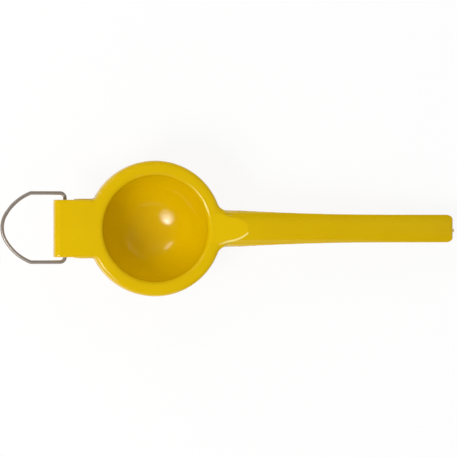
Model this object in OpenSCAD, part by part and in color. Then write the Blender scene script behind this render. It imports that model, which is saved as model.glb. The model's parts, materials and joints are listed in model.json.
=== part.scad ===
// Hinged lemon squeezer: two cast arms, a hollow hinge pin and a wire hanging loop.
// Each arm is drawn in its own frame, with the closed rims parted by z = 0 and the
// hinge near the origin, and then laid down on its cup and its lower handle's end.

/* [Bowls] */
// Distance from the hinge axis to the bowls' centre
bowl_reach = 48.5; // [44:0.5:60]
// Outer diameter of both rims
rim_d = 73; // [70:0.5:80]
// Thickness of the press arm's flange
flange_t = 5.5; // [4.5:0.25:7]
// Thickness of the strainer arm's rim
strainer_rim_t = 5; // [4:0.25:6]
// Diameter of the hollow in the press dome
hollow_d = 57; // [50:0.5:58]
// Height of the hollow's centre above the parting plane
hollow_lift = 3; // [1.5:0.25:3.5]
// Wall of the press dome
dome_wall = 2.6; // [2:0.1:3]
// Diameter of the inside of the strainer cup
cup_inner_d = 65.8; // [65:0.2:66.6]
// Wall of the strainer cup
cup_wall = 2.6; // [2:0.1:3]
// Depth of the cup's centre below the parting plane
cup_drop = 1; // [0.5:0.25:3]
// Depth of the small flat on which the cup stands
foot_depth = 0.5; // [0.3:0.05:0.8]

/* [Strainer holes] */
// Diameter of each juice hole
hole_d = 4; // [2.5:0.25:4.5]
// Rings of holes round the middle one, six more holes in each ring
hole_rings = 2; // [1:1:3]
// Distance from one ring to the next
ring_step = 8.5; // [7:0.25:9]

/* [Handles] */
// Half width at the root of both handles
root_half_w = 10.2; // [9:0.1:10.4]
// Half width of the straight grip
grip_half_w = 7.6; // [6.5:0.1:8.5]
// Distance from the hinge axis to where the taper ends
taper_end = 176; // [150:1:185]
// Distance from the hinge axis to the tip of the flange's tongue
tongue_reach = 98.2; // [94:0.2:102]
// Length of the handle along its crown, from the tongue to the end
handle_len = 119; // [90:1:140]
// Slope of the handle at the tongue, in degrees
handle_slope = 4.5; // [2:0.25:6]
// Radius of the handles' long downward curve
handle_bend_r = 1800; // [1500:50:3000]
// Half width of the flat on the crown
crown_half_w = 2.7; // [2.5:0.1:3.5]
// Radius of the crown's shoulders
shoulder_r = 8; // [8:0.25:10]
// Depth of the press arm's handle
press_handle_t = 6.5; // [6:0.25:7]
// Depth of the strainer arm's handle
strainer_handle_t = 8.5; // [7.5:0.25:10]
// Gap between the closed handles
handle_gap = 1.5; // [1:0.25:3]
// Wall of the handles' channels
handle_wall = 2.2; // [1.8:0.1:2.6]
// Radius of the handles' end corners, from above
end_corner_r = 3.6; // [1.5:0.1:4.5]
// Radius of the handles' end edge, from the side
end_edge_r = 2; // [1:0.25:2.5]
// Radius of the fillets where the handles meet the rims
root_fillet_r = 4.5; // [3:0.25:6]

// Diameter of the casting nib on the end of the press arm's handle
nib_d = 2.2; // [1.5:0.1:3]
// How far the nib stands out
nib_out = 1.2; // [0.5:0.1:2]
// How far the nib sits to one side of the middle
nib_offset = 1.1; // [0:0.1:2]

/* [Hinge] */
// Depth of the hinge axis below the parting plane
hinge_drop = 1.2; // [0.8:0.1:1.6]
// Width of the press arm's tab
tab_w = 30.8; // [28:0.2:34]
// How far the strainer arm's neck stands out beyond the tab, each side
neck_step = 0.6; // [0.3:0.1:1]
// Diameter of the strainer arm's knuckle
knuckle_d = 8.4; // [7.6:0.2:9]
// Width of the strainer arm's knuckle
knuckle_w = 19.7; // [16:0.1:22]
// Thickness of the skin over the knuckle
skin_t = 1.8; // [1.5:0.1:2.2]
// Radius of the tab's upper end corner
tab_corner_r = 3.2; // [2:0.1:4]
// Distance from the hinge axis to where the tab's top starts to fall
tab_break = 9.5; // [7:0.5:12]
// Radius of the fillets where the neck meets the rims
neck_fillet_r = 2; // [1:0.25:3]
// Outer diameter of the hollow hinge pin
pin_d = 4.4; // [3.8:0.1:5]

/* [Hanging loop] */
// Diameter of the loop's wire
wire_d = 2; // [1.6:0.1:2.4]
// Distance between the centres of the loop's legs
loop_w = 37; // [35:0.5:44]
// Distance from the hinge axis to the wire's centre at the loop's far end
loop_reach = 33.7; // [30:0.2:45]
// Radius of the loop's tip, to the wire's centre
loop_tip_r = 13.8; // [12:0.2:18]
// Half the angle that the tip's bend turns through, in degrees
loop_tip_a = 30; // [20:1:42]
// Distance from the hinge axis to where the loop's legs kink towards its tip
loop_kink = 18.4; // [16:0.2:22]
// Radius of the kinks, to the wire's centre
kink_r = 3; // [2:0.5:6]
// How far the loop sits to one side, within its play
loop_offset = 0.5; // [0:0.1:0.8]
// Radius of the bends beside the tab, to the wire's centre
elbow_r = 2.6; // [2:0.1:3]
// Length of wire that each end keeps inside the pin
wire_hold = 8; // [5:0.5:12]

/* [Clearances] */
// Gap between the closed rims
parting_gap = 0.3; // [0.2:0.05:0.5]
// Gap round and beside the knuckle
knuckle_gap = 0.3; // [0.2:0.05:0.5]
// Gap between the ears and the strainer arm's neck
ear_gap = 0.4; // [0.3:0.05:0.6]
// Radial clearance of the pin in the knuckle and of the wire in the pin
running_fit = 0.05; // [0.02:0.01:0.1]

/* [Hidden] */
$fn = 96;
eps = 0.01;
beyond = 200;
enamel = [0.87, 0.72, 0.02];
steel = [0.75, 0.75, 0.76];
rim_r = rim_d / 2;
edge_r = 1.9;
lower_edge_r = 1.2;
fillet_lap = 0.03;
half_gap = parting_gap / 2;

// Radii of the two bowls' walls
hollow_r = hollow_d / 2;
dome_r = hollow_r + dome_wall;
cup_inner_r = cup_inner_d / 2;
cup_r = cup_inner_r + cup_wall;

// The big circle whose edge is one side of the tapering handles, seen from above
taper_start = bowl_reach + rim_r;
taper_r = pow(taper_end - taper_start, 2) / (2 * (root_half_w - grip_half_w));

// The centre of the handles' long curve, seen from the side, and its end angle
bend_x = tongue_reach - handle_bend_r * sin(handle_slope);
bend_z = flange_t - handle_bend_r * cos(handle_slope);
end_angle = handle_slope + handle_len / handle_bend_r * 180 / PI;
start_angle = asin((taper_start - bend_x - 4) / handle_bend_r);
stack_t = press_handle_t + handle_gap + strainer_handle_t;
function on_bend(r, a) = [bend_x + r * sin(a), bend_z + r * cos(a)];
root_x = tongue_reach - 5;
plan_end = on_bend(handle_bend_r, end_angle)[0];

// The pose in which the closed squeezer lies on a table
end_edge = on_bend(handle_bend_r - stack_t + end_edge_r, end_angle)
    - end_edge_r * [cos(end_angle), -sin(end_angle)];
end_from_cup = end_edge - [bowl_reach, -cup_drop];
lie = asin((cup_r - foot_depth - end_edge_r) / norm(end_from_cup))
    + atan2(end_from_cup[1], end_from_cup[0]);
top_edge = on_bend(handle_bend_r - end_edge_r, end_angle)
    - end_edge_r * [cos(end_angle), -sin(end_angle)];
function lain(p) = [p[0] * cos(lie) + p[1] * sin(lie), p[1] * cos(lie) - p[0] * sin(lie)];
low_x = lain([-loop_reach, -hinge_drop])[0] - wire_d / 2;
nib_edge = on_bend(handle_bend_r - end_edge_r, end_angle)
    + nib_out * [cos(end_angle), -sin(end_angle)];
high_x = max(lain(top_edge)[0] + end_edge_r, lain(nib_edge)[0]);
ground = lain([bowl_reach, -cup_drop])[1] - cup_r + foot_depth;

// The hinge
knuckle_r = knuckle_d / 2;
pocket_r = knuckle_r + knuckle_gap;
pocket_w = knuckle_w + 2 * knuckle_gap;
ear_r = pocket_r + skin_t;
neck_w = tab_w + 2 * neck_step;
neck_end = bowl_reach - rim_r + 8;
web_drop = 2.6;
skin_lap = 0.4;

// The bent wire's flats lie this far inside its round ends
tube_trim = 0.01;
tube_lap = 1;

module lay_down() {
    translate([-(low_x + high_x) / 2, 0, -ground]) rotate([0, lie, 0]) children();
}

// Extrudes a side view, drawn with x along the arm and y up, across the arm
module across(w) {
    rotate([90, 0, 0]) linear_extrude(w, center = true) children();
}

module at_bowl() {
    translate([bowl_reach, 0, 0]) children();
}

// Where a circle round a and one round b cross, on the left going from a to b
function crossing(a, ra, b, rb) =
    let (d = norm(b - a), u = (b - a) / d, s = (d * d + ra * ra - rb * rb) / (2 * d))
    a + s * u + sqrt(ra * ra - s * s) * [-u[1], u[0]];

// The corner between the rim and a side of a handle or neck, filled with a fillet
module fillet_web(centre, r, foot) {
    difference() {
        polygon([[bowl_reach, 0], centre, foot, [foot[0], 0]]);
        translate(centre) circle(r);
    }
}

// Both handles from above, drawn in by inset for their channels
module handle_plan(inset, from_x, to_x, corner_r) {
    half_w = grip_half_w - inset;
    mid_x = min(taper_end, to_x - corner_r);
    difference() {
        translate([from_x, -root_half_w - 1 + inset])
            square([mid_x - from_x, 2 * (root_half_w + 1 - inset)]);
        for (side = [-1, 1])
            translate([taper_end, side * (grip_half_w + taper_r)])
                circle(taper_r + inset, $fn = 1440);
    }
    translate([mid_x - eps, -half_w]) square([to_x - corner_r - mid_x + eps, 2 * half_w]);
    translate([mid_x - eps, -half_w + corner_r])
        square([to_x - mid_x + eps, 2 * (half_w - corner_r)]);
    for (side = [-1, 1])
        translate([to_x - corner_r, side * (half_w - corner_r)]) circle(corner_r);
}

module root_webs() {
    side_centre = [taper_end, grip_half_w + taper_r];
    centre = crossing(side_centre, taper_r - root_fillet_r + fillet_lap,
        [bowl_reach, 0], rim_r + root_fillet_r - fillet_lap);
    foot = side_centre + (centre - side_centre) * (taper_r + 1) / norm(centre - side_centre);
    for (side = [0, 1]) mirror([0, side]) fillet_web(centre, root_fillet_r, foot);
}

module neck_webs(w) {
    side_y = w / 2 + neck_fillet_r - fillet_lap;
    reach = rim_r + neck_fillet_r - fillet_lap;
    centre = [bowl_reach - sqrt(reach * reach - side_y * side_y), side_y];
    for (side = [0, 1]) mirror([0, side])
        fillet_web(centre, neck_fillet_r, [centre[0], w / 2 - 1]);
}

// A stretch of a handle's section, swept along the long curve between two radii
module swept(from_a, to_a) {
    translate([bend_x, 0, bend_z]) rotate([90, 0, 0]) rotate([0, 0, 90 - to_a])
        rotate_extrude(angle = to_a - from_a, $fn = 1440)
            translate([handle_bend_r, 0]) children();
}

// The section of a handle, crown at x = 0 and the body at negative x
module crowned(depth, inset) {
    r = shoulder_r - inset;
    intersection() {
        translate([-depth, -beyond / 2]) square([depth - inset, beyond]);
        union() {
            translate([-depth, -crown_half_w]) square([depth - inset, 2 * crown_half_w]);
            for (side = [-1, 1]) translate([-shoulder_r, side * crown_half_w]) circle(r);
        }
    }
}

// Rounds the edge between a crown and the end face: side view, edge at the origin
module edge_cut(r) {
    difference() {
        translate([-r, -r]) square([2 * r, 2 * r]);
        translate([-r, -r]) circle(r);
    }
}

// Moves a side view to the handle's end, at a given radius of the long curve
module at_end(r) {
    translate(on_bend(r, end_angle)) rotate(-end_angle) children();
}

module press_handle() {
    channel_a = asin((root_x + 3 - bend_x) / handle_bend_r);
    wall_a = handle_wall / handle_bend_r * 180 / PI;
    difference() {
        intersection() {
            swept(start_angle, end_angle) crowned(press_handle_t, 0);
            translate([0, 0, -beyond / 2])
                linear_extrude(beyond) handle_plan(0, bowl_reach, plan_end, end_corner_r);
            translate([0, -beyond / 2, flange_t - beyond]) cube([2 * beyond, beyond, beyond]);
        }
        intersection() {
            swept(channel_a, end_angle - wall_a) crowned(press_handle_t + 1, handle_wall);
            translate([0, 0, -beyond / 2]) linear_extrude(beyond)
                handle_plan(handle_wall, bowl_reach, plan_end - handle_wall, end_corner_r / 2);
        }
        across(beyond) at_end(handle_bend_r) edge_cut(end_edge_r);
        translate([0, -beyond / 2, half_gap - beyond]) cube([root_x, beyond, beyond]);
    }
}

module strainer_handle() {
    channel_a = asin((root_x + 3 - bend_x) / handle_bend_r);
    wall_a = handle_wall / handle_bend_r * 180 / PI;
    difference() {
        intersection() {
            swept(start_angle, end_angle)
                translate([-stack_t, 0]) mirror([1, 0]) crowned(strainer_handle_t, 0);
            translate([0, 0, -beyond / 2])
                linear_extrude(beyond) handle_plan(0, bowl_reach, plan_end, end_corner_r);
        }
        intersection() {
            swept(channel_a, end_angle - wall_a)
                translate([-stack_t, 0]) mirror([1, 0]) crowned(strainer_handle_t + 1, handle_wall);
            translate([0, 0, -beyond / 2]) linear_extrude(beyond)
                handle_plan(handle_wall, bowl_reach, plan_end - handle_wall, end_corner_r / 2);
        }
        across(beyond) at_end(handle_bend_r - stack_t) mirror([0, 1]) edge_cut(end_edge_r);
    }
}

module cast_nib() {
    base = on_bend(handle_bend_r - end_edge_r - nib_d / 2, end_angle);
    translate([base[0], -nib_offset, base[1]]) rotate([0, 90 + end_angle, 0])
        translate([0, 0, -handle_wall / 2]) cylinder(d = nib_d, h = nib_out + handle_wall / 2);
}

// Half sections of the bowls, turned about the bowls' axis
module press_bowl_section() {
    lip_x = sqrt(pow(hollow_r + edge_r, 2) - pow(flange_t - edge_r - hollow_lift, 2));
    lip = [lip_x, flange_t - edge_r];
    touch = lip + ([0, hollow_lift] - lip) * edge_r / (hollow_r + edge_r);
    difference() {
        union() {
            translate([0, half_gap]) square([rim_r - edge_r, flange_t - half_gap]);
            translate([0, half_gap + lower_edge_r])
                square([rim_r, flange_t - half_gap - lower_edge_r - edge_r]);
            translate([0, half_gap]) square([rim_r - lower_edge_r, edge_r]);
            translate([rim_r - edge_r, flange_t - edge_r]) circle(edge_r);
            translate([rim_r - lower_edge_r, half_gap + lower_edge_r]) circle(lower_edge_r);
            intersection() {
                translate([0, hollow_lift]) circle(dome_r);
                translate([0, -beyond / 2]) square([beyond, beyond / 2 + 1]);
            }
        }
        translate([0, hollow_lift]) circle(hollow_r);
        difference() {
            polygon([[0, hollow_lift], touch, lip, [lip_x, beyond], [0, beyond]]);
            translate(lip) circle(edge_r);
        }
        translate([-beyond, -beyond]) square([beyond, 2 * beyond]);
    }
}

module strainer_bowl_section() {
    difference() {
        union() {
            translate([0, -strainer_rim_t])
                square([rim_r - lower_edge_r, strainer_rim_t - half_gap]);
            translate([0, -strainer_rim_t + lower_edge_r])
                square([rim_r, strainer_rim_t - half_gap - 2 * lower_edge_r]);
            for (z = [-strainer_rim_t + lower_edge_r, -half_gap - lower_edge_r])
                translate([rim_r - lower_edge_r, z]) circle(lower_edge_r);
            intersection() {
                translate([0, -cup_drop]) circle(cup_r);
                translate([0, -beyond]) square([beyond, beyond - half_gap]);
            }
        }
        translate([0, -cup_drop]) circle(cup_inner_r);
        translate([0, -cup_drop]) square([cup_inner_r, beyond]);
        translate([-beyond, -beyond]) square([beyond, 2 * beyond]);
    }
}

// Side view of the press arm's neck and ears, with the squared corner at the end
module press_neck_side() {
    top_z = ear_r - hinge_drop;
    translate([0, -hinge_drop]) circle(ear_r);
    polygon([[-ear_r + tab_corner_r, 0], [-ear_r + tab_corner_r, top_z], [0, top_z],
        [tab_break, flange_t], [neck_end, flange_t], [neck_end, half_gap],
        [ear_r - 1, half_gap], [0, -hinge_drop]]);
    translate([-ear_r, -hinge_drop]) square([ear_r, ear_r - tab_corner_r]);
    translate([-ear_r + tab_corner_r, top_z - tab_corner_r]) circle(tab_corner_r);
}

// Side view of the pocket that takes the knuckle and lets its web swing through
module knuckle_pocket_side() {
    translate([0, -hinge_drop]) circle(pocket_r);
    polygon([[-2 * ear_r, -hinge_drop - skin_lap], [0, -hinge_drop - skin_lap], [0, half_gap],
        [2 * ear_r, half_gap], [2 * ear_r, -2 * ear_r], [-2 * ear_r, -2 * ear_r]]);
}

module press_arm() {
    color(enamel) lay_down() difference() {
        union() {
            at_bowl() rotate_extrude() press_bowl_section();
            press_handle();
            cast_nib();
            difference() {
                translate([0, 0, half_gap]) linear_extrude(flange_t - half_gap) {
                    root_webs();
                    neck_webs(tab_w);
                }
                at_bowl() translate([0, 0, -beyond / 2]) cylinder(r = hollow_r + edge_r, h = beyond);
            }
            difference() {
                across(tab_w) press_neck_side();
                across(pocket_w) knuckle_pocket_side();
                at_bowl() translate([0, 0, -beyond / 2]) cylinder(r = hollow_r + edge_r, h = beyond);
            }
        }
        across(beyond) translate([0, -hinge_drop]) circle(pin_d / 2);
    }
}

module juice_holes() {
    translate([0, 0, -beyond]) {
        cylinder(d = hole_d, h = beyond - strainer_rim_t);
        for (ring = [1 : hole_rings], i = [1 : 6 * ring])
            rotate([0, 0, 60 / ring * i]) translate([ring * ring_step, 0, 0])
                cylinder(d = hole_d, h = beyond - strainer_rim_t);
    }
}

module strainer_arm() {
    color(enamel) lay_down() difference() {
        union() {
            at_bowl() rotate_extrude() strainer_bowl_section();
            strainer_handle();
            translate([0, 0, -strainer_rim_t]) linear_extrude(strainer_rim_t - half_gap) {
                root_webs();
                neck_webs(neck_w);
            }
            difference() {
                translate([0, -neck_w / 2, -hinge_drop - knuckle_r])
                    cube([neck_end, neck_w, hinge_drop + knuckle_r - half_gap]);
                across(beyond) translate([0, -hinge_drop]) circle(ear_r + ear_gap);
            }
            across(knuckle_w) {
                translate([0, -hinge_drop]) circle(knuckle_r);
                translate([0, -hinge_drop - web_drop])
                    square([neck_end, web_drop + hinge_drop - half_gap]);
            }
        }
        at_bowl() translate([0, 0, -cup_drop]) sphere(cup_inner_r);
        at_bowl() translate([0, 0, -cup_drop]) cylinder(r = cup_inner_r, h = beyond);
        at_bowl() juice_holes();
        across(beyond) translate([0, -hinge_drop]) circle(pin_d / 2 + running_fit);
        at_bowl() translate([0, 0, -cup_drop]) rotate([0, -lie, 0])
            translate([-rim_r, -rim_r, foot_depth - cup_r - beyond]) cube([rim_d, rim_d, beyond]);
    }
}

module hinge_pin() {
    color(steel) lay_down() across(tab_w) translate([0, -hinge_drop]) difference() {
        circle(pin_d / 2);
        circle(wire_d / 2 + running_fit);
    }
}

function arc(centre, r, from_a, to_a, steps) = [for (i = [0 : steps])
    let (a = from_a + (to_a - from_a) * i / steps) centre + r * [cos(a), sin(a)]];

// The wire's route on one side, from the tab to the tip, in the plane of the loop
leg_y = loop_w / 2;
tip_c = [loop_tip_r - loop_reach, 0];
side_dir = [cos(loop_tip_a), -sin(loop_tip_a)];
side_span = [-loop_kink, leg_y] - tip_c + loop_tip_r * side_dir;
loop_side_r = side_span * side_span / (2 * side_span * side_dir);
side_c = tip_c + (loop_side_r - loop_tip_r) * side_dir;
kink_y = leg_y - kink_r;
kink_x = side_c[0] - sqrt(pow(loop_side_r - kink_r, 2) - pow(kink_y - side_c[1], 2));
kink_a = atan2(kink_y - side_c[1], side_c[0] - kink_x);
half_route = concat([[0, leg_y - elbow_r - tube_lap]],
    arc([-elbow_r, leg_y - elbow_r], elbow_r, 0, 90, 6),
    arc([kink_x, kink_y], kink_r, 90, 180 - kink_a, 3),
    arc(side_c, loop_side_r, 180 - kink_a, 180 - loop_tip_a, 5),
    arc(tip_c, loop_tip_r, 180 - loop_tip_a, 180, 7));
stops = [for (i = [0 : len(half_route) - 1])
    if (i == 0 || norm(half_route[i] - half_route[i - 1]) > eps) half_route[i]];
route = concat(stops, [for (i = [len(stops) - 2 : -1 : 0]) [stops[i][0], -stops[i][1]]]);

// A tube of a given radius along the route, its first and last rings square to the pin
module wire_tube(r, sides) {
    last = len(route) - 1;
    function across_of(i) = i == 0 || i == last ? [i == 0 ? 1 : -1, 0]
        : let (d = route[i + 1] - route[i - 1]) [d[1], -d[0]] / norm(d);
    points = [for (i = [0 : last], k = [0 : sides - 1])
        let (side = route[i] + r * cos(360 * k / sides) * across_of(i))
        [side[0], side[1], r * sin(360 * k / sides)]];
    walls = [for (i = [0 : last - 1], k = [0 : sides - 1])
        let (a = i * sides + k, b = i * sides + (k + 1) % sides)
        each [[a, b, b + sides], [a, b + sides, a + sides]]];
    polyhedron(points, concat(walls, [[for (k = [sides - 1 : -1 : 0]) k],
        [for (k = [0 : sides - 1]) last * sides + k]]));
}

module hanging_loop() {
    color(steel) lay_down() translate([0, loop_offset, -hinge_drop]) {
        wire_tube(wire_d / 2 - tube_trim, 12);
        for (side = [0, 1]) mirror([0, side, 0])
            translate([0, tab_w / 2 - wire_hold, 0]) rotate([-90, 0, 0])
                cylinder(d = wire_d, h = leg_y - elbow_r - tab_w / 2 + wire_hold);
    }
}

strainer_arm();
press_arm();
hinge_pin();
hanging_loop();
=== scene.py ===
import json
import math

import bpy
from mathutils import Matrix, Vector


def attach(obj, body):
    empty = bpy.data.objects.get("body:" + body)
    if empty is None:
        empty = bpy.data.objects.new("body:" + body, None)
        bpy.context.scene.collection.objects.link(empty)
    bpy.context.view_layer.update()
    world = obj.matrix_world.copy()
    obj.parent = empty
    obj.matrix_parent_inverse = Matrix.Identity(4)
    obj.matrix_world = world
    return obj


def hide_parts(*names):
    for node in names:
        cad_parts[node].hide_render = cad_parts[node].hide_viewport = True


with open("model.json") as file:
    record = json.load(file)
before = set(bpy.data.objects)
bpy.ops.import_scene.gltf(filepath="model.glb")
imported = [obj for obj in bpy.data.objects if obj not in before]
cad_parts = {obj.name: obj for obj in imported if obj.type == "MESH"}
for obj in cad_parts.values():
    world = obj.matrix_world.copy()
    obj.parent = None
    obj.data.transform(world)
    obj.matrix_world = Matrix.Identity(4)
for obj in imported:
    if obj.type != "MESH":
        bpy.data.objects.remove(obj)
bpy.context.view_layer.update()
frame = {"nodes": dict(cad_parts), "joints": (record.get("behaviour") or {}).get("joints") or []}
nodes = frame["nodes"]
mm = 0.001
weldWithin = 0.001 * mm

# The closed squeezer lies down by this angle about its hinge. The arms are drawn level, with the
# hinge at the origin, and their sizes are in mm: along the arm, across it and up
lieDown = math.radians(4.28645)
hingePoint = Vector(frame["joints"][0]["pos_m"])
armPlace = Matrix.Translation(hingePoint) @ Matrix.Rotation(lieDown, 4, "Y")
toArm = armPlace.inverted()


def selectOnly(piece):
    bpy.ops.object.select_all(action="DESELECT")
    piece.select_set(True)
    bpy.context.view_layer.objects.active = piece


def applyModifier(piece, kind, **values):
    selectOnly(piece)
    modifier = piece.modifiers.new(kind.title(), kind)
    for key, value in values.items():
        setattr(modifier, key, value)
    bpy.ops.object.modifier_apply(modifier=modifier.name)


def applyPlace(piece, matrix):
    piece.matrix_world = matrix
    selectOnly(piece)
    bpy.ops.object.transform_apply(location=True, rotation=True, scale=True)


def startPoint(x, y, z):
    # one vertex in edit mode, to be drawn out into a line
    bpy.ops.object.select_all(action="DESELECT")
    bpy.ops.mesh.primitive_plane_add(size=mm, location=(x * mm, y * mm, z * mm))
    piece = bpy.context.object
    bpy.ops.object.transform_apply(location=True, rotation=True, scale=True)
    bpy.ops.object.mode_set(mode="EDIT")
    bpy.ops.mesh.select_all(action="SELECT")
    bpy.ops.mesh.merge(type="CENTER")
    return piece


def drawTo(dx, dy, dz, steps=1):
    step = (dx / steps * mm, dy / steps * mm, dz / steps * mm)
    for count in range(steps):
        bpy.ops.mesh.extrude_region_move(TRANSFORM_OT_translate={"value": step})


def turn(centre, axis, degrees, steps):
    # anticlockwise seen from the tip of the axis
    bpy.ops.mesh.spin(steps=steps, angle=-math.radians(degrees), axis=axis,
                      center=[part * mm for part in centre], use_auto_merge=False)


def smoothStep(low, high, value):
    t = min(1.0, max(0.0, (value - low) / (high - low)))
    return t * t * (3 - 2 * t)


# Each arm is a solid copy of its node, with every edge softened as in a sand casting
castings = {
    "press_arm": {
        "piece": "pressArmCasting",
        "body": "press_arm",
        "softening": 9,       # passes that round the edges off
        # half section of the bowl, from the middle out: a start, then points, or turns with
        # (centre, degrees)
        "bowl": [(0, -24.3), ((0, 4.2), 91.13), ((30.394, 4.8), -91.13), (34.6, 6.7),
                 ((34.6, 4.8), -90), (36.5, 2.55), ((35.3, 2.55), -90), (30.969, 1.35),
                 ((0, 4.2), -84.74)],
        "crown": 1800.0,      # radius of the handle's long curve along its crown
        "outward": 1,         # the crown faces up
        "from": 81.0,         # where the handle leaves the bowl
        "below": 6.7,         # the flange's top, where the crown ends
        # where the webs run out into the shoulders: along, across, up, radius
        "blends": [(87, 9, 4.5, 7.5), (87, -9, 4.5, 7.5)],
        "blendPasses": 130,
        # the lip of the hollow and the rim's upper edge: radius about the bowl, up, reach
        "rings": [(29.4, 6.2, 3.7), (35.2, 6.6, 3.2)],
        "ringPasses": 70,
        "tongue": {           # the flange's top runs out on the handle
            "outline": [(82, 8.7), (85.1, 7.8), (87.8, 7.0), (90.5, 6.45), (93.2, 5.65),
                        (95.9, 4.3), (98.6, 2.4)],    # places along the arm, half widths there
            "edge": 0.5,      # to each side of the outline, where the side falls
            "lowest": 4.6,    # only what lies above this is raised
            "farthest": 11,   # and lies within this of the arm's middle
            "plane": (90, 60),    # middle along the arm and width of what it is raised to
        },
    },
    "strainer_arm": {
        "piece": "strainerArmCasting",
        "body": "strainer_arm",
        "softening": 8,
        "bowl": [(0, -32.7), ((0, 0.2), 90), (32.9, 1.05), (35.3, 1.05), ((35.3, -0.15), -90),
                 (36.5, -2.6), ((35.3, -2.6), -90), (35.274, -3.8), ((0, 0.2), -83.53)],
        "crown": 1783.5,
        "outward": -1,        # the crown faces down
        "from": 86.0,
        "below": 40.0,
        "blends": [(87, 9, -3.5, 6), (87, -9, -3.5, 6)],
        "blendPasses": 60,
        "rings": [(35.6, -3.0, 2.8)],
        "ringPasses": 10,
    },
}
bowl = {"middle": 48.5, "sides": 480, "arcSteps": 14}
handle = {
    "bendX": -43.0264, "bendZ": -1787.7512,    # the centre of its long curve
    "endTurn": 8.288, "lengthSteps": 160,      # degrees of that curve
    "flat": 2.7,                               # half the width of its flat crown
    "shoulder": 8.0, "shoulderTurn": 74, "shoulderSteps": 60,
}
fineMesh = {
    "grain": 0.42,         # between vertices
    "kept": 195000,        # triangles kept
    "smoothing": 0.5,      # how far one pass goes
    "snapWithin": 0.12,    # what lies nearer to the true shape snaps to it in full
    "snapFade": 0.3,       # what lies farther is left alone
    "footLevel": 0.25,     # above the table: what lies lower is the strainer's flat foot
    "fullWithin": 0.6,     # share of a spot's reach that is smoothed in full
    "weightSteps": 20,     # how finely the smoothing is graded
}


def bowlGuide(make):
    # the bowl as it would come off the lathe, finely turned
    x, z = make["bowl"][0]
    piece = startPoint(x, 0, z)
    for step in make["bowl"][1:]:
        if isinstance(step[0], tuple):
            (cx, cz), degrees = step
            dx, dz, angle = x - cx, z - cz, math.radians(degrees)
            steps = bowl["arcSteps"] + int(abs(angle) * math.hypot(dx, dz))
            turn((cx, 0, cz), (0, -1, 0), degrees, steps)
            x = cx + dx * math.cos(angle) - dz * math.sin(angle)
            z = cz + dx * math.sin(angle) + dz * math.cos(angle)
        else:
            drawTo(step[0] - x, 0, step[1] - z)
            x, z = step
    bpy.ops.object.mode_set(mode="OBJECT")
    applyModifier(piece, "SCREW", angle=math.radians(360), steps=bowl["sides"],
                  render_steps=bowl["sides"], axis="Z", use_merge_vertices=True,
                  merge_threshold=weldWithin)
    print("bowl guide turned,", len(piece.data.polygons), "faces")
    applyPlace(piece, Matrix.Translation((bowl["middle"] * mm, 0, 0)))
    return piece


def crownGuide(make):
    # the crown and shoulders of a handle, swept along its long curve
    way, flat, shoulder = make["outward"], handle["flat"], handle["shoulder"]
    lean, steps = math.radians(handle["shoulderTurn"]), handle["shoulderSteps"]
    bendX, top = handle["bendX"], handle["bendZ"] + make["crown"]
    piece = startPoint(bendX, flat + shoulder * math.sin(lean),
                       top + way * shoulder * (math.cos(lean) - 1))
    turn((bendX, flat, top - way * shoulder), (1, 0, 0), way * handle["shoulderTurn"], steps)
    drawTo(0, -2 * flat, 0)
    turn((bendX, -flat, top - way * shoulder), (1, 0, 0), way * handle["shoulderTurn"], steps)
    bpy.ops.mesh.select_all(action="SELECT")
    turn((bendX, 0, handle["bendZ"]), (0, 1, 0), handle["endTurn"], handle["lengthSteps"])
    for place, normal in (((make["from"], 0, 0), (-1, 0, 0)), ((0, 0, make["below"]), (0, 0, 1))):
        bpy.ops.mesh.select_all(action="SELECT")
        bpy.ops.mesh.bisect(plane_co=[part * mm for part in place], plane_no=normal,
                            clear_outer=True)
    bpy.ops.object.mode_set(mode="OBJECT")
    print("crown guide reaches", [round(side / mm, 1) for side in piece.dimensions])
    return piece


def trueShape(piece, guide):
    # draws the nearly right surface of a casting onto a guide, and leaves its edges and fillets
    applyPlace(guide, armPlace)
    foot = fineMesh["footLevel"] * mm
    aboveFoot = [vertex.index for vertex in piece.data.vertices if vertex.co.z > foot]
    piece.vertex_groups.new(name="near").add(aboveFoot, 1, "REPLACE")
    applyModifier(piece, "VERTEX_WEIGHT_PROXIMITY", vertex_group="near", target=guide,
                  proximity_mode="GEOMETRY", proximity_geometry={"FACE"},
                  min_dist=fineMesh["snapWithin"] * mm, max_dist=fineMesh["snapFade"] * mm,
                  falloff_type="SMOOTH", invert_falloff=True)
    applyModifier(piece, "SHRINKWRAP", vertex_group="near", target=guide,
                  wrap_method="NEAREST_SURFACEPOINT")
    piece.vertex_groups.clear()
    bpy.data.objects.remove(guide)


def weigh(piece, weightAt):
    # a vertex group of the weights that a function gives for places on the arm
    group = piece.vertex_groups.new(name="weighed")
    levels = {}
    for vertex in piece.data.vertices:
        weight = weightAt(toArm @ vertex.co / mm)
        if weight > 0:
            level = math.ceil(weight * fineMesh["weightSteps"])
            levels.setdefault(level, []).append(vertex.index)
    for level, found in levels.items():
        group.add(found, level / fineMesh["weightSteps"], "REPLACE")
    return group.name


def soften(piece, spots, rings, passes):
    # smooths only round spots and round rings about the bowl
    def nearness(local):
        misses = [(local - Vector(spot[:3])).length / spot[3] for spot in spots]
        outward = math.hypot(local.x - bowl["middle"], local.y)
        misses += [math.hypot(outward - ring[0], local.z - ring[1]) / ring[2] for ring in rings]
        return 1 - smoothStep(fineMesh["fullWithin"], 1.0, min(misses))

    applyModifier(piece, "SMOOTH", factor=fineMesh["smoothing"], iterations=passes,
                  vertex_group=weigh(piece, nearness))
    piece.vertex_groups.clear()


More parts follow.
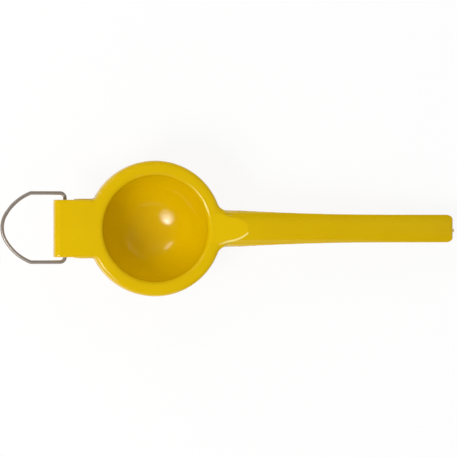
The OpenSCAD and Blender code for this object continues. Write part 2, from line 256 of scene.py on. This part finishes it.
def raiseTongue(piece, make, top):
    # lifts the handle's top to the flange's level inside the tongue's outline
    outline, edge = make["outline"], make["edge"]
    start, end = outline[0][0], outline[-1][0]

    def inside(local):
        if not (make["lowest"] <= local.z <= top and start < local.x < end + edge
                and abs(local.y) <= make["farthest"]):
            return 0
        half = outline[-1][1]
        for (x, width), (nextX, nextWidth) in zip(outline, outline[1:]):
            if x <= local.x <= nextX:
                half = width + (nextWidth - width) * (local.x - x) / (nextX - x)
        return 1 - smoothStep(-edge, edge, max(abs(local.y) - half, local.x - end))

    middle, size = make["plane"]
    raised = weigh(piece, inside)
    bpy.ops.object.select_all(action="DESELECT")
    bpy.ops.mesh.primitive_plane_add(size=size * mm, location=(middle * mm, 0, top * mm))
    plane = bpy.context.object
    applyPlace(plane, armPlace @ plane.matrix_world)
    applyModifier(piece, "SHRINKWRAP", vertex_group=raised, target=plane,
                  wrap_method="NEAREST_SURFACEPOINT")
    piece.vertex_groups.clear()
    bpy.data.objects.remove(plane)


def makeCasting(nodeName, make):
    piece = nodes[nodeName].copy()
    piece.data = nodes[nodeName].data.copy()
    for key in list(piece.keys()):
        del piece[key]
    piece.parent = None
    piece.name = make["piece"]
    bpy.context.scene.collection.objects.link(piece)
    selectOnly(piece)
    bpy.ops.object.mode_set(mode="EDIT")
    bpy.ops.mesh.select_all(action="SELECT")
    bpy.ops.mesh.remove_doubles(threshold=weldWithin)
    bpy.ops.object.mode_set(mode="OBJECT")
    applyModifier(piece, "REMESH", mode="VOXEL", voxel_size=fineMesh["grain"] * mm)
    applyModifier(piece, "SMOOTH", factor=fineMesh["smoothing"], iterations=make["softening"])
    trueShape(piece, crownGuide(make))
    trueShape(piece, bowlGuide(make))
    soften(piece, make["blends"], [], make["blendPasses"])
    soften(piece, [], make["rings"], make["ringPasses"])
    if "tongue" in make:
        raiseTongue(piece, make["tongue"], make["below"])
    fine = sum(len(face.vertices) - 2 for face in piece.data.polygons)
    if fine > fineMesh["kept"]:
        applyModifier(piece, "DECIMATE", ratio=fineMesh["kept"] / fine)
    selectOnly(piece)
    bpy.ops.object.shade_smooth()
    piece.data.name = make["piece"]
    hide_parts(nodeName)
    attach(piece, make["body"])
    print(make["piece"], "has", len(piece.data.polygons), "faces, from", fine, "triangles")
    return piece


arms = [makeCasting(name, make) for name, make in castings.items()]


# The hanging loop is one bent wire, drawn as half a route from inside the pin to the tip
loop = {
    "wire": 2.0,
    "sides": 24,
    "across": 37.0,       # between the legs' middles
    "reach": 33.7,        # from the pin's axis to the tip's middle line
    "inPin": 7.4,         # where the wire's end lies in the pin
    "elbow": 2.6,
    "kink": 3.0,
    "kinkReach": 18.4,    # from the pin's axis to the kinks
    "tip": 13.8,
    "tipTurn": 30.0,      # degrees, half the tip's bend
    "aside": 0.5,         # the loop rests a little to one side
    "steps": {"elbow": 10, "leg": 6, "kink": 6, "side": 14, "tip": 12},
}


def makeLoop():
    elbow, kink, tip, steps = loop["elbow"], loop["kink"], loop["tip"], loop["steps"]
    tipTurn = math.radians(loop["tipTurn"])
    legY, tipX = loop["across"] / 2, tip - loop["reach"]
    spanX = -loop["kinkReach"] - tipX + tip * math.cos(tipTurn)
    spanY = legY - tip * math.sin(tipTurn)
    closing = spanX * math.cos(tipTurn) - spanY * math.sin(tipTurn)
    side = (spanX ** 2 + spanY ** 2) / (2 * closing)
    sideX = tipX + (side - tip) * math.cos(tipTurn)
    sideY = -(side - tip) * math.sin(tipTurn)
    kinkY = legY - kink
    kinkX = sideX - math.sqrt((side - kink) ** 2 - (kinkY - sideY) ** 2)
    kinkTurn = math.degrees(math.atan2(kinkY - sideY, sideX - kinkX))
    bends = [((kinkX, kinkY, 0), 90 - kinkTurn, steps["kink"]),
             ((sideX, sideY, 0), kinkTurn - loop["tipTurn"], steps["side"]),
             ((tipX, 0, 0), loop["tipTurn"], steps["tip"])]
    bpy.ops.object.select_all(action="DESELECT")
    bpy.ops.mesh.primitive_circle_add(vertices=loop["sides"], radius=loop["wire"] / 2 * mm,
                                      location=(0, loop["inPin"] * mm, 0),
                                      rotation=(math.radians(90), 0, 0))
    piece = bpy.context.object
    piece.name = piece.data.name = "hangingLoopWire"
    bpy.ops.object.transform_apply(location=True, rotation=True, scale=True)
    bpy.ops.object.mode_set(mode="EDIT")
    bpy.ops.mesh.select_all(action="SELECT")
    drawTo(0, legY - elbow - loop["inPin"], 0)
    turn((-elbow, legY - elbow, 0), (0, 0, 1), 90, steps["elbow"])
    drawTo(kinkX + elbow, 0, 0, steps["leg"])
    for centre, degrees, count in bends:
        turn(centre, (0, 0, 1), degrees, count)
    bpy.ops.object.mode_set(mode="OBJECT")
    lowest = min(vertex.co.x for vertex in piece.data.vertices)
    print("hangingLoopWire reaches", round(lowest / mm, 2), "mm")
    applyModifier(piece, "MIRROR", use_axis=(False, True, False), use_bisect_axis=(False,) * 3,
                  merge_threshold=2 * weldWithin)
    bpy.ops.object.mode_set(mode="EDIT")
    bpy.ops.mesh.select_all(action="SELECT")
    bpy.ops.mesh.remove_doubles(threshold=2 * weldWithin)
    bpy.ops.mesh.select_all(action="DESELECT")
    bpy.ops.mesh.select_mode(type="EDGE")
    bpy.ops.mesh.select_non_manifold()
    bpy.ops.mesh.edge_face_add()      # the two cut ends inside the pin
    bpy.ops.mesh.select_all(action="SELECT")
    bpy.ops.mesh.normals_make_consistent(inside=False)
    bpy.ops.object.mode_set(mode="OBJECT")
    bpy.ops.object.shade_smooth()
    applyPlace(piece, armPlace @ Matrix.Translation((0, loop["aside"] * mm, 0)))
    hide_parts("hanging_loop")
    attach(piece, "hanging_loop")
    return piece


wire = makeLoop()
print("hanging loop bent")


# The hinge pin is a cut tube with its edges broken
pin = {
    "outer": 4.4, "bore": 2.1, "length": 30.8, "sides": 64,
    "brokenEdge": 0.22, "edgeSteps": 3,
    "breakAbove": 40, "smoothBelow": 50,    # degrees between faces
}


def makePin():
    bpy.ops.object.select_all(action="DESELECT")
    bpy.ops.mesh.primitive_cylinder_add(vertices=pin["sides"], radius=pin["outer"] / 2 * mm,
                                        depth=pin["length"] * mm, rotation=(math.radians(90), 0, 0))
    piece = bpy.context.object
    piece.name = piece.data.name = "hingePinTube"
    bpy.ops.object.transform_apply(location=True, rotation=True, scale=True)
    bpy.ops.object.mode_set(mode="EDIT")
    bpy.ops.mesh.select_mode(type="FACE")
    bpy.ops.mesh.select_all(action="DESELECT")
    bpy.ops.object.mode_set(mode="OBJECT")
    for face in piece.data.polygons:
        face.select = abs(face.normal.y) > 0.9    # the two ends
    bpy.ops.object.mode_set(mode="EDIT")
    bpy.ops.mesh.inset(thickness=(pin["outer"] - pin["bore"]) / 2 * mm)
    bpy.ops.mesh.bridge_edge_loops()
    bpy.ops.mesh.select_all(action="SELECT")
    bpy.ops.mesh.normals_make_consistent(inside=False)
    bpy.ops.object.mode_set(mode="OBJECT")
    applyModifier(piece, "BEVEL", width=pin["brokenEdge"] * mm, segments=pin["edgeSteps"],
                  limit_method="ANGLE", angle_limit=math.radians(pin["breakAbove"]))
    bpy.ops.object.shade_smooth_by_angle(angle=math.radians(pin["smoothBelow"]))
    applyPlace(piece, armPlace)
    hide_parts("hinge_pin")
    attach(piece, "press_arm")
    return piece


tube = makePin()
print("hinge pin has", len(tube.data.polygons), "faces, box",
      [round(side / mm, 2) for side in tube.dimensions])


def addNode(tree, kind, inputs=None, **values):
    node = tree.nodes.new(kind)
    for key, value in values.items():
        setattr(node, key, value)
    for key, value in (inputs or {}).items():
        if isinstance(value, bpy.types.NodeSocket):
            tree.links.new(value, node.inputs[key])
        else:
            node.inputs[key].default_value = value
    return node


def reckon(tree, operation, *parts):
    return addNode(tree, "ShaderNodeMath", dict(enumerate(parts)), operation=operation).outputs[0]


def ramp(tree, value, start, full, low=0.0, high=1.0, kind="LINEAR"):
    # low up to the start, high from where it is full
    return addNode(tree, "ShaderNodeMapRange", {
        "Value": value, "From Min": start, "From Max": full, "To Min": low, "To Max": high},
        interpolation_type=kind).outputs["Result"]


def blendColour(tree, share, first, second):
    return addNode(tree, "ShaderNodeMix", {0: share, 6: first, 7: second},
                   data_type="RGBA").outputs[2]


def newGroup(name, inputs, outputs):
    group = bpy.data.node_groups.new(name, "ShaderNodeTree")
    for label, value in inputs.items():
        group.interface.new_socket(label, in_out="INPUT",
                                   socket_type="NodeSocketFloat").default_value = value
    for label in outputs:
        group.interface.new_socket(label, in_out="OUTPUT", socket_type="NodeSocketFloat")
    return group


# The marks of a handled surface, each from 0 to 1
surfaceMarks = {
    "sizes": {"Drift Size": 40.0, "Speckle Size": 900.0, "Scratch Size": 60.0},
    "driftDetail": 3.0, "speckleDetail": 2.0, "scratchDetail": 8.0,
    "roughness": 0.5, "scratchRoughness": 0.8,
    "speckleSpan": (0.3, 0.7),             # what the speckle's noise lies between
    "scratchCut": (0.62, 0.72),            # only the highest of its noise is a scratch
    "scratchTurn": (0.3, 0.2, 0.5),        # the way that the scratches run
    "scratchStretch": (0.05, 1.0, 1.0),
}


def makeMarks():
    # slow drift, fine speckle and hairline scratches
    make = surfaceMarks
    group = newGroup("handledSurface", make["sizes"], ("Drift", "Speckle", "Scratch"))
    start = addNode(group, "NodeGroupInput")
    place = addNode(group, "ShaderNodeTexCoord").outputs["Object"]
    stretched = addNode(group, "ShaderNodeMapping", {
        "Vector": place, "Rotation": make["scratchTurn"], "Scale": make["scratchStretch"]},
        vector_type="POINT").outputs["Vector"]

    def noise(where, size, detail, roughness):
        return addNode(group, "ShaderNodeTexNoise", {
            "Vector": where, "Scale": start.outputs[size], "Detail": detail,
            "Roughness": roughness}).outputs["Fac"]

    lines = noise(stretched, "Scratch Size", make["scratchDetail"], make["scratchRoughness"])
    addNode(group, "NodeGroupOutput", {
        "Drift": noise(place, "Drift Size", make["driftDetail"], make["roughness"]),
        "Speckle": noise(place, "Speckle Size", make["speckleDetail"], make["roughness"]),
        "Scratch": ramp(group, lines, *make["scratchCut"])})
    return group


handled = makeMarks()


# Where a highlight is painted along the tongue's lower edge and light is painted on its top, each
# mask from where it starts to where it is full
paintedLightPlaces = {
    "widths": {"Full Width": 0.3, "Faded Width": 0.8},
    "paintedHighlightFrom": (82.0, 86.5), "topFrom": (74.0, 85.0),    # along the arm
    "pastEnd": (0.4, -0.2),       # past the tongue's end
    "above": (4.2, 5.0),          # up from the hinge
    "topWithin": (-0.2, 1.8),     # inwards from the outline
    "curveTop": 10.0,             # the half width that the curve's full height stands for
}


def makePaintedLight():
    # 1 along the tongue's lower edge, where a highlight is painted, or on its top, where light is
    # painted
    make, outline = paintedLightPlaces, castings["press_arm"]["tongue"]["outline"]
    first, last = outline[0][0], outline[-1][0]
    group = newGroup("paintedLightMasks", make["widths"], ("Painted Highlight", "Top"))
    start = addNode(group, "NodeGroupInput")
    place = addNode(group, "ShaderNodeMapping", {
        "Vector": addNode(group, "ShaderNodeTexCoord").outputs["Object"], "Scale": (1 / mm,) * 3,
        "Rotation": toArm.to_euler(), "Location": toArm.translation / mm}, vector_type="POINT")
    parts = addNode(group, "ShaderNodeSeparateXYZ", {"Vector": place.outputs["Vector"]})
    along, across, up = (parts.outputs[letter] for letter in "XYZ")
    curve = addNode(group, "ShaderNodeFloatCurve", {"Value": ramp(group, along, first, last)})
    line = curve.mapping.curves[0]
    spots = [((x - first) / (last - first), width / make["curveTop"]) for x, width in outline]
    for spot in spots[1:-1]:
        line.points.new(*spot)
    line.points[0].location, line.points[len(spots) - 1].location = spots[0], spots[-1]
    curve.mapping.update()

    def allOf(*masks):
        mask = masks[0]
        for window in masks[1:]:
            mask = reckon(group, "MULTIPLY", mask, window)
        return mask

    half = reckon(group, "MULTIPLY", curve.outputs["Value"], make["curveTop"])
    miss = reckon(group, "ABSOLUTE", reckon(group, "ADD", half, across))
    near = ramp(group, miss, start.outputs["Faded Width"], start.outputs["Full Width"],
                kind="SMOOTHSTEP")
    spare = reckon(group, "SUBTRACT", half, reckon(group, "ABSOLUTE", across))
    within = ramp(group, spare, *make["topWithin"], kind="SMOOTHSTEP")
    ends = ramp(group, along, *(last + past for past in make["pastEnd"]))
    above = ramp(group, up, *make["above"])
    # the edge mask carries a painted highlight, the top mask painted light
    addNode(group, "NodeGroupOutput", {
        "Painted Highlight": allOf(near, ramp(group, along, *make["paintedHighlightFrom"]), ends, above),
        "Top": allOf(within, ramp(group, along, *make["topFrom"]), ends, above)})
    return group


paintedLightGroup = makePaintedLight()


def startMaterial(name, kind="ShaderNodeBsdfPrincipled"):
    material = bpy.data.materials.new(name)
    material.use_nodes = True
    tree = material.node_tree
    tree.nodes.clear()
    shader = addNode(tree, kind)
    addNode(tree, "ShaderNodeOutputMaterial", {"Surface": shader.outputs[0]})
    return material, tree, shader


def dressShader(tree, shader, colour, marks, roughness, height, bump):
    # colour, speckled gloss and fine relief, as all finishes have them
    strength, depth = bump
    gloss = ramp(tree, marks["Speckle"], *surfaceMarks["speckleSpan"], *roughness)
    relief = addNode(tree, "ShaderNodeBump", {"Strength": strength, "Distance": depth * mm,
                                              "Height": marks[height]})
    tree.links.new(colour, shader.inputs["Base Color"])
    tree.links.new(gloss, shader.inputs["Roughness"])
    tree.links.new(relief.outputs["Normal"], shader.inputs["Normal"])


enamel = {
    "deep": (0.70, 0.44, 0.0, 1),     # where the coat lies thick
    "thin": (0.76, 0.505, 0.0, 1),    # where it is drawn thin
    "top": (0.785, 0.515, 0.0, 1),    # painted light: lighter on the tongue's top, where the level flange faces the lamps
    "paintedLight": (1.0, 0.81, 0.21, 1),    # painted highlight along the tongue's lower edge, standing in for a reflection
    "paintedHighlightWidth": {"Full Width": 0.25, "Faded Width": 0.8},    # to each side of the edge
    "marks": {"Drift Size": 45.0, "Speckle Size": 420.0},
    "roughness": (0.11, 0.15),
    "orangePeel": (0.12, 0.018),      # strength and depth
    "ior": 1.5,
}


def makeEnamel():
    material, tree, shader = startMaterial("yellowEnamel")
    marks = addNode(tree, "ShaderNodeGroup", enamel["marks"], node_tree=handled).outputs
    paintedLight = addNode(tree, "ShaderNodeGroup", enamel["paintedHighlightWidth"], node_tree=paintedLightGroup).outputs
    coat = blendColour(tree, marks["Drift"], enamel["deep"], enamel["thin"])
    # painted light on the tongue's top, then a painted highlight along its lower edge
    coat = blendColour(tree, paintedLight["Top"], coat, enamel["top"])
    coat = blendColour(tree, paintedLight["Painted Highlight"], coat, enamel["paintedLight"])
    dressShader(tree, shader, coat, marks, enamel["roughness"], "Speckle", enamel["orangePeel"])
    shader.inputs["IOR"].default_value = enamel["ior"]
    return material


steel = {
    "marks": {"Drift Size": 120.0, "Speckle Size": 1500.0, "Scratch Size": 400.0},
    "dull": 0.86,             # share of the colour that is left where it is dull
    "drawn": (0.1, 0.01),     # strength and depth of the marks
    "kinds": {
        "platedWire": {"colour": (0.42, 0.355, 0.305, 1), "roughness": (0.28, 0.38),
                       "metallic": 0.48},
        "turnedSteel": {"colour": (0.55, 0.54, 0.53, 1), "roughness": (0.25, 0.4),
                        "metallic": 1.0},
    },
}


def makeSteel(name):
    make = steel["kinds"][name]
    material, tree, shader = startMaterial(name)
    marks = addNode(tree, "ShaderNodeGroup", steel["marks"], node_tree=handled).outputs
    dull = tuple(steel["dull"] * part for part in make["colour"][:3]) + (1,)
    tint = blendColour(tree, marks["Drift"], dull, make["colour"])
    dressShader(tree, shader, tint, marks, make["roughness"], "Scratch", steel["drawn"])
    shader.inputs["Metallic"].default_value = make["metallic"]
    return material


def giveMaterial(piece, material):
    piece.data.materials.clear()
    piece.data.materials.append(material)


yellow = makeEnamel()
for arm in arms:
    giveMaterial(arm, yellow)
giveMaterial(wire, makeSteel("platedWire"))
giveMaterial(tube, makeSteel("turnedSteel"))
print("finishes made")


studio = {
    "floorWidth": 6,
    "floorPaper": 0.96,
    "floorShare": 0.12,       # how much of the floor's picture is its own light and shade
    "world": 0.27,            # the air's own light
    "airShown": 0.02,         # the air in the gloss
    "aim": (-0.04, 0, 0.03),  # where the lamps point, a little to the bowl's side
    "lamps": {                # directions from there in degrees, distances and widths in metres
        "keyLeft": {"azimuth": 221.5, "fromTop": 39.3, "distance": 0.9, "size": (0.54, 0.50),
                    "radiance": 2.9, "round": True},
        "keySoft": {"azimuth": 221.5, "fromTop": 39.3, "distance": 0.9, "size": (0.54, 0.50),
                    "radiance": 1.35, "round": True, "inGloss": False},
        "keyMiddle": {"azimuth": 215, "fromTop": 36.5, "distance": 0.88, "size": (0.38, 0.34),
                      "radiance": 5.0, "round": True},
        "keyCore": {"azimuth": 209.5, "fromTop": 34.0, "distance": 0.85, "size": (0.18, 0.15),
                    "radiance": 9.0, "round": True},
        "keyRight": {"azimuth": 131, "fromTop": 51.4, "distance": 0.9, "size": (0.30, 0.11),
                     "radiance": 4.6},
        "roomLight": {"azimuth": 0, "fromTop": 0, "distance": 1.0, "size": (2.4, 2.4),
                      "radiance": 0.18, "inGloss": False},
        "fillFar": {"azimuth": 108, "fromTop": 55, "distance": 0.6, "size": (0.5, 0.5),
                    "radiance": 0.95, "inGloss": False},
        "fillRight": {"azimuth": 15, "fromTop": 58, "distance": 0.8, "size": (0.5, 0.5),
                      "radiance": 0.75, "inGloss": False},
        "fillNear": {"azimuth": 270, "fromTop": 68, "distance": 1.0, "size": (1.2, 0.5),
                     "radiance": 0.55},
    },
}


def makeFloor():
    bpy.ops.object.select_all(action="DESELECT")
    bpy.ops.mesh.primitive_plane_add(size=studio["floorWidth"], location=(0, 0, 0))
    floor = bpy.context.object
    floor.name = "studioFloor"
    material, tree, mixed = startMaterial("whiteTable", "ShaderNodeMixShader")
    paper = addNode(tree, "ShaderNodeBsdfDiffuse", {"Color": (studio["floorPaper"],) * 3 + (1,)})
    glow = addNode(tree, "ShaderNodeEmission", {"Color": (1, 1, 1, 1), "Strength": 1.0})
    rays = addNode(tree, "ShaderNodeLightPath").outputs
    seen = reckon(tree, "MAXIMUM", rays["Is Camera Ray"], rays["Is Glossy Ray"])
    share = reckon(tree, "MULTIPLY", seen, 1 - studio["floorShare"])
    for index, part in enumerate((share, paper.outputs[0], glow.outputs[0])):
        tree.links.new(part, mixed.inputs[index])
    giveMaterial(floor, material)


def makeWorld():
    world = bpy.data.worlds.new("studioAir")
    bpy.context.scene.world = world
    world.use_nodes = True
    tree = world.node_tree
    tree.nodes.clear()
    rays = addNode(tree, "ShaderNodeLightPath").outputs
    unlit = ramp(tree, rays["Is Glossy Ray"], 0.0, 1.0, studio["world"], studio["airShown"])
    level = ramp(tree, rays["Is Camera Ray"], 0.0, 1.0, unlit, 1.0)
    air = addNode(tree, "ShaderNodeBackground", {"Color": (1, 1, 1, 1), "Strength": level})
    addNode(tree, "ShaderNodeOutputWorld", {"Surface": air.outputs[0]})


def makeLamp(name, lamp):
    azimuth, lean = math.radians(lamp["azimuth"]), math.radians(lamp["fromTop"])
    away = Vector((math.sin(lean) * math.cos(azimuth), math.sin(lean) * math.sin(azimuth),
                   math.cos(lean)))
    oval = lamp.get("round", False)
    data = bpy.data.lights.new(name, "AREA")
    data.shape = "ELLIPSE" if oval else "RECTANGLE"
    data.size, data.size_y = lamp["size"]
    area = data.size * data.size_y * (math.pi / 4 if oval else 1)
    data.energy = lamp["radiance"] * math.pi * area
    light = bpy.data.objects.new(name, data)
    light.location = Vector(studio["aim"]) + away * lamp["distance"]
    light.rotation_mode = "QUATERNION"
    light.rotation_quaternion = away.to_track_quat("Z", "Y")
    light.visible_glossy = lamp.get("inGloss", True)
    light.visible_camera = False
    bpy.context.scene.collection.objects.link(light)


camera = {
    "lean": 6.0,                # degrees from straight above
    "distance": 1.615,          # metres
    "pixelsPerMm": 1.835,
    "picture": 457,             # pixels across
    "aim": (-0.68, 0.0, 20.0),  # mm
    "clip": (0.1, 20),          # metres
}


def makeCamera():
    data = bpy.data.cameras.new("topCamera")
    pixelsPerMetre = camera["pixelsPerMm"] / mm
    data.lens = pixelsPerMetre * camera["distance"] / camera["picture"] * data.sensor_width
    data.clip_start, data.clip_end = camera["clip"]
    item = bpy.data.objects.new("topCamera", data)
    lean = math.radians(camera["lean"])
    away = Vector((-math.sin(lean), 0, math.cos(lean)))
    item.location = Vector(camera["aim"]) * mm + camera["distance"] * away
    item.rotation_euler = (0, -lean, 0)
    bpy.context.scene.collection.objects.link(item)
    bpy.context.scene.camera = item


makeFloor()
makeWorld()
for lampName, lamp in studio["lamps"].items():
    makeLamp(lampName, lamp)
makeCamera()
bpy.context.scene.view_settings.view_transform = "Standard"
print("studio set")
